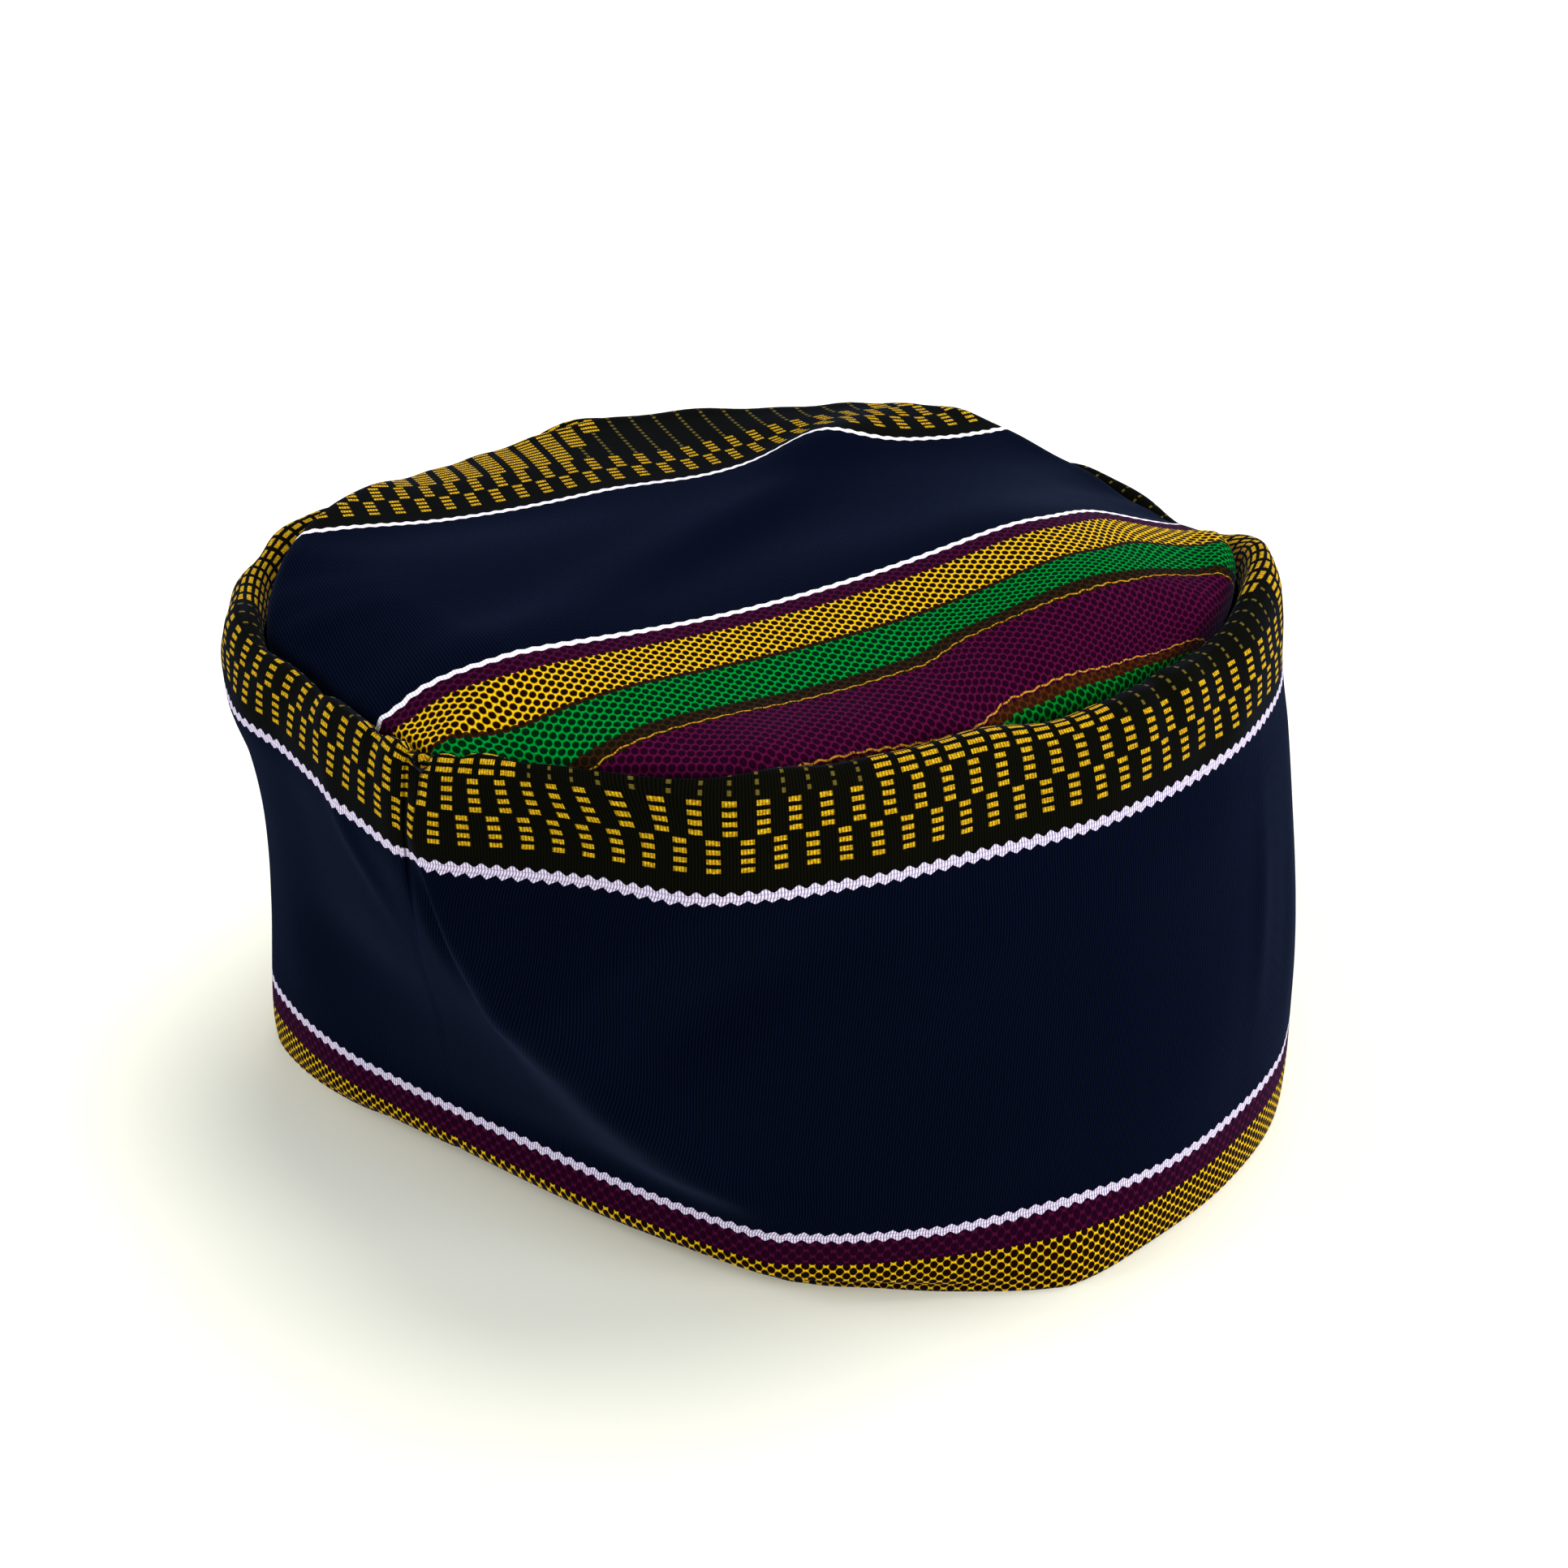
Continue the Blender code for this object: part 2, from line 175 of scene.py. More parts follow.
# The seam, in mm: its groove, how much deeper that is in the rolled edge, its half width, how far the cloth
# drops on its right and over what length it comes back
GROOVE_DEPTH = 0.12
GROOVE_IN_ROLL = 0.3
GROOVE_HALF = 0.9
SEAM_STEP = 1.2
SEAM_STEP_REACH = 4.0
# The height in mm of the slight waves all over the band
DRAPE_HEIGHT = 0.16
# The lumps of the rolled edge: the heights of the fine, middle and broad ones, in mm
LUMP_HEIGHTS = (0.24, 0.34, 0.30)
# Where the rolled cloth is dragged askew, in mm: the middle along it, its half length, the most it shifts,
# and how far above the white line it begins and is full
DRAG_MIDDLE = 32.0
DRAG_REACH = 14.0
DRAG_MOST = 6.0
DRAG_RISE = (5.0, 20.0)

# The cloth: its stripes in mm across, from the white line between the dashes and the navy

NAVY_WIDTH = 71.6
YELLOW_START = 75.4
PURPLE_WIDTH = YELLOW_START - NAVY_WIDTH
RAMP_START = -40.0
RAMP_END = 140.0
TOOTH = 2.58
RIB = 0.52
NET_PITCH = 2.36
Stripe = namedtuple("Stripe", "name start net hole")
STRIPES = [
    Stripe("dashes",        RAMP_START,   (15, 15, 7),    (6, 6, 4)),
    Stripe("navy",          0.0,          (8, 13, 34),    (2, 5, 13)),
    Stripe("narrow purple", NAVY_WIDTH,   (66, 10, 44),   (30, 3, 22)),
    Stripe("yellow net",    YELLOW_START, (230, 184, 16), (22, 7, 3)),
    Stripe("brown line",    85.2,         (52, 26, 12),   (28, 14, 8)),
    Stripe("green net",     86.4,         (0, 134, 46),   (0, 30, 9)),
    Stripe("dark line",     96.2,         (44, 28, 10),   (20, 14, 6)),
    Stripe("wide purple",   99.4,         (78, 10, 50),   (30, 3, 22)),
    Stripe("second brown",  115.4,        (72, 34, 10),   (40, 18, 8)),
    Stripe("second green",  118.2,        (8, 118, 30),   (0, 30, 10)),
]
WAVY_LINES = (99.3, 115.6)
# Threads in screen values from 0 to 255, where there are two the darker first
GOLD = ((172, 128, 12), (230, 186, 34))
DOT_GOLD = (120, 104, 40)
WAVY_GOLD = (188, 134, 26)
# The band's white line: the crown's white, painted darker and more lavender as painted shade on the band's
# less lit wall
SHADED_BAND_WHITE_LINE = ((126, 116, 154), (230, 219, 237))
CROWN_WHITE_LINE = ((205, 198, 214), (253, 252, 254))
REVERSE_SIDE = ((20, 20, 34), (44, 42, 58))

# The crown lies askew: its stripes' bearing in plan, and where the far white line runs across it
CROWN_BEARING = 26.0
FAR_LINE = 55.5
CROWN_CLOTH_SCALE = NAVY_WIDTH / 72.5

# Where the crown's cloth is pulled askew: each pull grows from one place to another along and across the
# stripes, to a shift across in mm
CROWN_CLOTH_SHIFT = 1.6
Pull = namedtuple("Pull", "name along_from along_to across_from across_to shift")
CROWN_PULLS = [
    Pull("near line, left end",    -58.0, -74.0,  45.0,  60.0,   4.5),
    Pull("near line, right end",    46.0,  62.0,  45.0,  60.0,   4.0),
    Pull("green, middle",            4.0,  16.0,  86.0,  96.0,   3.0),
    Pull("green, right end",        36.0,  48.0,  86.0,  96.0,   1.5),
    Pull("second wavy line",        -6.0,  46.0,  98.0, 112.0,   4.5),
    Pull("green, far right",        62.0,  80.0,  70.0,  78.0,  -3.5),
    Pull("far line, middle",       -15.0,  10.0,  50.0,  30.0,  -4.0),
    Pull("far line, right end",     30.0,  66.0,  50.0,  30.0, -10.0),
]

# The camera, at the photograph's angle

CAMERA_PLACE = (0.0013, -0.3112, 0.2388)
CAMERA_PITCH = 30.5
CAMERA_SENSOR = 36.0
CAMERA_LENS = 2200 / 1932 * CAMERA_SENSOR

# The studio: a floor in metres, even light, and lamps by bearing round the cap and height, in degrees

FLOOR_SIZE = 40.0
FLOOR_COLOUR = (0.93, 0.93, 0.82, 1.0)
WORLD_COLOUR = (1.0, 0.995, 0.98, 1.0)
WORLD_STRENGTH = 0.43
Sun = namedtuple("Sun", "name bearing height softness strength colour")
SUNS = [
    Sun("key",    52.0, 66.0, 36.0, 2.2, (1.0, 0.99, 0.96)),
    Sun("left",  182.0, 20.0, 36.0, 1.9, (0.88, 0.94, 1.0)),
    Sun("right", -20.0, 10.0, 26.0, 2.8, (0.96, 0.98, 1.0)),
    Sun("front", 258.0, 52.0, 30.0, 0.4, (0.98, 0.98, 1.0)),
]


def paint(red, green, blue):
    """A colour given in screen values from 0 to 255, as the numbers that a shader takes."""
    parts = [value / 255 for value in (red, green, blue)]
    return tuple(v / 12.92 if v <= 0.04045 else ((v + 0.055) / 1.055) ** 2.4 for v in parts) + (1.0,)


def curve(start, end, leave, arrive, t):
    """The place at a share t of a smooth curve from start to end, with its runs at both ends."""
    return (
        start * (2 * t**3 - 3 * t**2 + 1)
        + end * (3 * t**2 - 2 * t**3)
        + leave * (t**3 - 2 * t**2 + t)
        + arrive * (t**3 - t**2)
    )


def smooth_loop(rows, chords, softness, steps):
    """Closed curves through the table's rows, with the same number of steps from each row to the next."""
    count = len(rows)
    slopes = [(rows[(i + 1) % count] - rows[i]) / chords[i] for i in range(count)]
    finer = []
    for i in range(count):
        ends = []
        for k in (i, (i + 1) % count):
            before, after = chords[k - 1], chords[k]
            rounded = (slopes[k - 1] * after + slopes[k] * before) / (before + after)
            ends.append(softness[k] * rounded + (1 - softness[k]) * slopes[i])
        leave, arrive = ends[0] * chords[i], ends[1] * chords[i]
        for step in range(steps):
            finer.append(curve(rows[i], rows[(i + 1) % count], leave, arrive, step / steps))
    return np.array(finer)


def band_columns():
    """The fold table made finer, as a dictionary of one array for each of its columns."""
    names = Fold._fields[1:-1]
    rows = np.array([fold[1:-1] for fold in BAND_FOLDS], float)
    softness = [fold.soft for fold in BAND_FOLDS]
    middles = (rows[:, 0:2] + rows[:, 3:5]) / 2
    chords = np.linalg.norm(np.roll(middles, -1, axis=0) - middles, axis=1)
    finer = smooth_loop(rows, chords, softness, COLUMNS_PER_FOLD)
    return {name: finer[:, k] for k, name in enumerate(names)}


def outward(plan):
    """Unit vectors that point out of a closed plan curve, which runs anticlockwise."""
    along = np.roll(plan, -1, axis=0) - np.roll(plan, 1, axis=0)
    along /= np.linalg.norm(along, axis=1)[:, None]
    return np.stack([along[:, 1], -along[:, 0]], axis=1)


def eased(direction, plan, reach):
    """The directions along a closed plan curve, evened out over a reach on each side."""
    steps = np.linalg.norm(np.roll(plan, -1, axis=0) - plan, axis=1)
    place = np.cumsum(steps) - steps
    apart = np.abs(place[:, None] - place[None, :])
    apart = np.minimum(apart, steps.sum() - apart)
    weight = np.exp(-((apart / reach) ** 2)) * ((steps + np.roll(steps, 1)) / 2)[None, :]
    even = weight @ direction
    return even / np.linalg.norm(even, axis=1)[:, None]


def ring(plan, direction, distance, height):
    """A ring of points: a plan curve pushed along its directions and set at a height, all in mm."""
    plan = plan + direction * np.broadcast_to(distance, len(plan))[:, None]
    return np.column_stack([plan, np.broadcast_to(height, len(plan))])


def bulge(share, high, deep):
    """How far the wall stands out at a share of the way down, through what it does at each third."""
    near_high = 13.5 * share * (share - 2 / 3) * (share - 1)
    near_deep = -13.5 * share * (share - 1 / 3) * (share - 1)
    return near_high * high + near_deep * deep


def band_rings(fold):
    """The outer face of the side band, from its foot on the floor to the lip of its rolled edge."""
    top = np.column_stack([fold["top_x"], fold["top_y"]])
    low = np.column_stack([fold["low_x"], fold["low_y"]])
    roll_out, low_out = eased(outward(top), top, CORNER_EASE), outward(low)
    foot = fold["lean"] - TURN_IN * (fold["lift"] - LEAST_LIFT)
    rings = [
        ring(low, low_out, foot, 0.0),
        ring(low, low_out, foot, FOOT_HEIGHT),
        ring(low, low_out, fold["lean"], fold["lift"]),
        ring(low, low_out, 0.65 * fold["lean"], (fold["low_z"] + fold["lift"]) / 2),
    ]
    for share in WALL_SHARES:
        plan = top + (low - top) * share
        stands_out = bulge(share, fold["high"], fold["deep"])
        height = fold["top_z"] + (fold["low_z"] - fold["top_z"]) * share
        rings.append(ring(plan, outward(plan), stands_out, height))
    for section in ROLL_SECTIONS:
        height = fold["top_z"] + section.height * fold["rise"]
        rings.append(ring(top, roll_out, -section.inset * fold["roll"], height))
    return np.array(rings)


def smooth_rows(rings, steps):
    """Finer rings, on smooth curves across the cloth, and the place of each among the given ones."""
    gaps = rings[1:] - rings[:-1]
    lengths = np.linalg.norm(gaps, axis=2, keepdims=True).clip(1e-6)
    slopes = gaps / lengths
    before, after = lengths[:-1], lengths[1:]
    rounded = (slopes[:-1] * after + slopes[1:] * before) / (before + after)
    tangents = np.concatenate([slopes[:1], rounded, slopes[-1:]])
    finer, places = [], []
    for i, count in enumerate(steps):
        last = i == len(steps) - 1
        leave, arrive = tangents[i] * lengths[i], tangents[i + 1] * lengths[i]
        for step in range(count + last):
            finer.append(curve(rings[i], rings[i + 1], leave, arrive, step / count))
            places.append(i + step / count)
    return np.array(finer), np.array(places)


def run_along(curve):
    """The length run along a closed curve at each of its points, with the whole length added at the end."""
    steps = np.linalg.norm(np.roll(curve, -1, axis=0) - curve, axis=1)
    return np.concatenate([[0.0], np.cumsum(steps)])


def band_cloth(grid, places):
    """Where each point of the band lies in the cloth, along and across it, in mm."""
    ring_shares = np.array([1.0] * HEM_RINGS + list(WALL_SHARES) + [0.0] * len(ROLL_SECTIONS))
    shares = np.interp(places, range(len(ring_shares)), ring_shares)[:, None]
    low_row = int(np.searchsorted(places, HEM_RINGS))
    top_row = int(np.searchsorted(places, HEM_RINGS + len(WALL_SHARES) - 1))
    along = run_along(grid[top_row]) * (1 - shares) + run_along(grid[low_row]) * shares
    steps = np.linalg.norm(np.diff(grid, axis=0), axis=2)
    run = np.concatenate([np.zeros((1, grid.shape[1])), np.cumsum(steps, axis=0)])
    across = np.broadcast_to(shares * NAVY_WIDTH, run.shape).copy()
    across[:low_row] = NAVY_WIDTH + run[low_row] - run[:low_row]
    across[top_row:] = run[top_row] - run[top_row:]
    across = np.column_stack([across, across[:, 0]])
    drag = DRAG_MOST * np.exp(-(((along - DRAG_MIDDLE) / DRAG_REACH) ** 2))
    return along + drag * soft_step(-across, *DRAG_RISE), across


def facing(grid):
    """Unit vectors out of the face of a sheet, at each point."""
    round_it = np.roll(grid, -1, axis=1) - np.roll(grid, 1, axis=1)
    normal = np.cross(round_it, np.gradient(grid, axis=0))
    return normal / np.linalg.norm(normal, axis=2, keepdims=True).clip(1e-9)


def wall_facing(grid):
    """Unit vectors out of the face of a sheet, evened out along its rings.

    That keeps them from crossing at a sharp corner.
    """
    directions = []
    for row in grid:
        plan = row[:, :2]
        reach = min(CORNER_EASE, EASE_SHARE * run_along(plan)[-1])
        directions.append(eased(outward(plan), plan, reach))
    out = np.array(directions)
    tangent = np.gradient(grid, axis=0)
    up = tangent[:, :, 2]
    run = (tangent[:, :, :2] * out).sum(axis=2)
    length = np.hypot(up, run).clip(1e-9)
    return np.dstack([out * (up / length)[:, :, None], -run / length])


def soft_step(value, low, high):
    """From 0 at low to 1 at high, with no corners."""
    t = np.clip((value - low) / (high - low), 0, 1)
    return t * t * (3 - 2 * t)


def swell(x, y, wave, length=0.0):
    """The height of one soft wave over the places x, y. Along a closed band, x starts again at its length."""
    bearing = math.radians(wave.bearing)
    dx, dy = x - wave.x, y - wave.y
    if length:
        dx = (dx + length / 2) % length - length / 2
    along = dx * math.cos(bearing) + dy * math.sin(bearing)
    across = dy * math.cos(bearing) - dx * math.sin(bearing)
    return wave.height * np.exp(-((along / wave.half_length) ** 2) - (across / wave.half_width) ** 2)


def band_folds(along, across):
    """How far the soft folds of the band stand out of its smooth shape, in mm."""
    length = along[0, -1]
    u, w = along[:, :-1], across[:, :-1]
    drape = DRAPE_HEIGHT * np.sin(u / 9.0 + w / 13.0 + 0.6) * np.sin(w / 21.0 + u / 37.0)
    return drape + sum(swell(u, w, wave, length) for wave in BAND_WAVES)


def band_relief(along, across):
    """How far the seam and the small lumps of the rolled edge stand out of the soft folds, in mm."""
    length = along[0, -1]
    u, w = along[:, :-1], across[:, :-1]
    to_seam = np.minimum(u, length - u)
    in_roll = soft_step(-w, -2.0, 6.0)
    groove = -(GROOVE_DEPTH + GROOVE_IN_ROLL * in_roll) * np.exp(-((to_seam / GROOVE_HALF) ** 2))
    step = -SEAM_STEP * soft_step(u, 0.0, 0.8) * np.exp(-u / SEAM_STEP_REACH) * soft_step(-w, -26.0, 4.0)
    fine, middle, broad = LUMP_HEIGHTS
    lumps = (
        fine * np.sin(u / 3.1 + 0.8 * np.sin(u / 11.0)) * np.cos(w / 4.2)
        + middle * np.sin(u / 6.7 + 1.3 + w / 9.0)
        + broad * np.sin(u / 15.0 + 0.4) * np.sin(u / 4.3 + w / 6.0)
    )
    return groove + step + in_roll * (1 - soft_step(-w, 24.0, 29.0)) * lumps


def crown_height(x, y):
    """Height in mm of the crown's field over a place in plan."""
    return CROWN_BASE + sum(swell(x, y, wave) for wave in CROWN_WAVES)


def crown_rings(fold):
    """The upper face of the crown panel, from its turned-down rim to a small ring round its middle."""
    top = np.column_stack([fold["top_x"], fold["top_y"]])
    direction = eased(outward(top), top, CORNER_EASE)
    lip = ROLL_SECTIONS[-1].inset * fold["roll"]
    crease = fold["top_z"] + ROLL_CREASE * fold["rise"]
    edge = np.array([
        ring(
            top,
            direction,
            -(lip + SEWING_GAP + section.inset),
            crease - section.drop + section.puff * fold["puff"],
        )
        for section in CROWN_EDGE
    ])
    middle = np.array(CROWN_MIDDLE)
    field = []
    for share in CROWN_RINGS:
        plan = middle + (edge[-1][:, :2] - middle) * share
        rim = max(0.0, 1 - (1 - share) / EDGE_BLEND) ** 2
        height = rim * edge[-1][:, 2] + (1 - rim) * crown_height(plan[:, 0], plan[:, 1])
        field.append(np.column_stack([plan, height]))
    finer, _ = smooth_rows(np.concatenate([edge, field[:1]]), (3, 3, 3, 3))
    grid = np.concatenate([finer, np.array(field[1:])])
    inside = np.linalg.norm(grid[:, :, :2] - grid[:1, :, :2], axis=2)
    u = run_along(top)[:-1]
    gathers = 0.5 * np.sin(u / 2.9 + 1.5 * np.sin(u / 17.0)) + 0.5 * np.sin(u / 5.3 + 2.0)
    fade = soft_step(inside, *GATHER_START) * np.exp(-inside / GATHER_REACH)
    grid[:, :, 2] += GATHER_HEIGHT * gathers * fade
    return grid


def crown_cloth(grid):
    """Where each point of the crown lies in the cloth, along and across its stripes, in mm."""
    bearing = math.radians(CROWN_BEARING)
    steps = np.diff(grid, axis=0)
    flat_steps = np.linalg.norm(steps[:, :, :2], axis=2)
    steep = (np.linalg.norm(steps, axis=2) - STEEP_EDGE * flat_steps).clip(0.0)
    steep[CROWN_EDGE_RINGS:] = 0.0
    extra = np.concatenate([np.cumsum(steep[::-1], axis=0)[::-1], np.zeros((1, grid.shape[1]))])
    out = grid[:, :, :2] - grid[-1, :, :2].mean(axis=0)
    out /= np.linalg.norm(out, axis=2, keepdims=True)
    x, y = np.moveaxis(grid[:, :, :2] + out * extra[:, :, None], 2, 0)
    along = x * math.cos(bearing) + y * math.sin(bearing)
    beyond = y * math.cos(bearing) - x * math.sin(bearing)
    flat = (FAR_LINE - beyond) * CROWN_CLOTH_SCALE + CROWN_CLOTH_SHIFT
    across = flat + sum(
        pull.shift
        * soft_step(along, pull.along_from, pull.along_to)
        * soft_step(flat, pull.across_from, pull.across_to)
        for pull in CROWN_PULLS
    )
    return np.column_stack([along, along[:, 0]]), np.column_stack([across, across[:, 0]])


def cloth_object(name, outer, inner, along, across, materials, hub=False):
    """A closed wall of cloth between two sheets of rings, with its place in the cloth as a UV map in metres.

    The outer face and both edges take the first material, and the inner face takes the second.
    """
    rows, columns = outer.shape[:2]
    points = ((np.concatenate([outer, inner]) - np.array([*PLAN_SHIFT, 0.0])) * MM).reshape(-1, 3)
    index = np.arange(rows * columns).reshape(rows, columns)
    index = np.column_stack([index, index[:, 0]])
    cloth = np.stack([along, across], axis=2) * MM
    inner_index = index + rows * columns

    def around(low, high):
        return np.stack([low[:-1], low[1:], high[1:], high[:-1]], axis=1)

    faces, corners, of_inner = [], [], []

    def strip(low, high, low_cloth, high_cloth, inside=False):
        faces.extend(around(low, high).tolist())
        corners.append(around(low_cloth, high_cloth).reshape(-1, 2))
        of_inner.extend([inside] * columns)

    for k in range(rows - 1):
        strip(index[k], index[k + 1], cloth[k], cloth[k + 1])
        strip(inner_index[k + 1], inner_index[k], cloth[k + 1], cloth[k], inside=True)
    strip(inner_index[0], index[0], cloth[0], cloth[0])
    if hub:
        middle = np.tile(cloth[-1, :-1].mean(axis=0), (columns, 1))
        for ring_index, inside in ((index[-1], False), (inner_index[-1][::-1], True)):
            ring_cloth = cloth[-1][::-1] if inside else cloth[-1]
            hub_index = np.full(columns, len(points))
            faces.extend(np.stack([ring_index[:-1], ring_index[1:], hub_index], axis=1).tolist())
            corners.append(np.stack([ring_cloth[:-1], ring_cloth[1:], middle], axis=1).reshape(-1, 2))
            of_inner.extend([inside] * columns)
            points = np.vstack([points, points[ring_index[:-1]].mean(axis=0)])
    else:
        strip(index[-1], inner_index[-1], cloth[-1], cloth[-1])

    mesh = bpy.data.meshes.new(name)
    mesh.from_pydata(points.tolist(), [], faces)
    uv = np.vstack(corners).astype(np.float32)
    mesh.uv_layers.new(name="cloth").data.foreach_set("uv", uv.ravel())
    for material in materials:
        mesh.materials.append(material)
    mesh.polygons.foreach_set("material_index", np.array(of_inner, np.int32))
    mesh.shade_smooth()
    piece = bpy.data.objects.new(name, mesh)
    bpy.context.scene.collection.objects.link(piece)
    return piece


def feed(tree, value, socket):
    """Links a value to a socket, or sets the socket where the value is a plain number or colour."""
    if isinstance(value, bpy.types.NodeSocket):
        tree.links.new(value, socket)
    else:
        socket.default_value = value


def maths(tree, operation, *values):
    """The result of one sum on numbers or sockets."""
    node = tree.nodes.new("ShaderNodeMath")
    node.operation = operation
    for value, socket in zip(values, node.inputs):
        feed(tree, value, socket)
    return node.outputs[0]


def mixed(tree, share, first, second):
    """The first colour, with a share of the second over it."""
    node = tree.nodes.new("ShaderNodeMix")
    node.data_type = "RGBA"
    feed(tree, share, node.inputs[0])
    feed(tree, first, node.inputs[6])
    feed(tree, second, node.inputs[7])
    return node.outputs[2]


def rise(tree, value, low, high, start=0.0, end=1.0):
    """A value that goes smoothly from start to end as another goes from low to high."""
    node = tree.nodes.new("ShaderNodeMapRange")
    node.interpolation_type = "SMOOTHSTEP"
    for number, socket in zip((value, low, high, start, end), node.inputs):
        feed(tree, number, socket)
    return node.outputs[0]


def wave(tree, value, pitch, turn=0.0):
    """From -1 to 1 and back once in each pitch of the value."""
    turns = maths(tree, "MULTIPLY_ADD", value, 2 * math.pi / pitch, turn)
    return maths(tree, "SINE", turns)


def cloud(tree, vector, scale, detail=2.0):
    """Soft noise at a scale in turns for each mm of the vector."""
    node = tree.nodes.new("ShaderNodeTexNoise")
    feed(tree, vector, node.inputs["Vector"])
    node.inputs["Scale"].default_value = scale
    node.inputs["Detail"].default_value = detail
    return node.outputs[0]


def cloth_vector(tree, along, across):
    """The place in the cloth as one vector, in mm."""
    node = tree.nodes.new("ShaderNodeCombineXYZ")
    feed(tree, along, node.inputs[0])
    feed(tree, across, node.inputs[1])
    return node.outputs[0]


NUMBER = "NodeSocketFloat"
COLOUR = "NodeSocketColor"


def new_group(name, inputs, outputs):
    """A node group with its sockets, and the sockets inside it that give its inputs and take its outputs."""
    group = bpy.data.node_groups.new(name, "ShaderNodeTree")
    for label, value in inputs:
        kind = COLOUR if isinstance(value, tuple) else NUMBER
        socket = group.interface.new_socket(name=label, in_out="INPUT", socket_type=kind)
        socket.default_value = value
    for label, kind in outputs:
        group.interface.new_socket(name=label, in_out="OUTPUT", socket_type=kind)
    return group, group.nodes.new("NodeGroupInput").outputs, group.nodes.new("NodeGroupOutput").inputs


def place_group(tree, group, **values):
    """A node of the group with its inputs fed, each named in small letters with _ for a space."""
    node = tree.nodes.new("ShaderNodeGroup")
    node.node_tree = group
    for label, value in values.items():
        feed(tree, value, node.inputs[label.replace("_", " ").title()])
    return node.outputs


def toothed_line():
    """A woven line with pointed teeth on the navy side and rounder ones on the other, all in mm."""
    tree, given, made = new_group(
        "toothed line", [("Along", 0.0), ("Across", 0.0), ("Half", 0.85), ("Swing", 0.34)],
        [("Mask", NUMBER), ("Thread", NUMBER)],
    )
    m = partial(maths, tree)
    turns = m("DIVIDE", given["Along"], TOOTH)
    point = m("MULTIPLY_ADD", m("PINGPONG", turns, 0.5), 4.0, -1.0)
    round_ = wave(tree, given["Along"], TOOTH, -math.pi / 2)
    navy_edge = m("MULTIPLY_ADD", point, given["Swing"], given["Half"])
    other_edge = m("MULTIPLY_ADD", round_, given["Swing"], m("MULTIPLY", given["Half"], -1.0))
    under = rise(tree, m("SUBTRACT", navy_edge, given["Across"]), -0.06, 0.06)
    over = rise(tree, m("SUBTRACT", given["Across"], other_edge), -0.06, 0.06)
    feed(tree, m("MULTIPLY", under, over), made["Mask"])
    threads = rise(tree, wave(tree, given["Along"], RIB), -0.75, 0.2)
    picks = rise(tree, wave(tree, given["Across"], 0.78, 1.0), -0.9, -0.2, 0.55, 1.0)
    feed(tree, m("MULTIPLY", threads, picks), made["Thread"])
    return tree


def dotted_net():
    """A net round staggered dark spots. Net is 1 on its threads and 0 in the spots."""
    tree, given, made = new_group(
        "dotted net", [("Along", 0.0), ("Across", 0.0), ("Pitch", NET_PITCH), ("Row", 2.13), ("Spot", 0.66)],
        [("Net", NUMBER)],
    )
    m = partial(maths, tree)
    spot_squeeze = 0.86

    def to_spot(shift):
        sides = []
        for value, pitch, stretch in (("Along", "Pitch", 1.0), ("Across", "Row", spot_squeeze)):
            place = m("FRACT", m("ADD", m("DIVIDE", given[value], given[pitch]), shift))
            apart = m("MULTIPLY", m("SUBTRACT", place, 0.5), given[pitch])
            sides.append(m("POWER", m("ABSOLUTE", m("MULTIPLY", apart, stretch)), 2.0))
        return m("SQRT", m("ADD", *sides))

    nearest = m("MINIMUM", to_spot(0.0), to_spot(0.5))
    reach = m("SUBTRACT", nearest, given["Spot"])
    feed(tree, rise(tree, reach, -0.12, 0.10), made["Net"])
    return tree


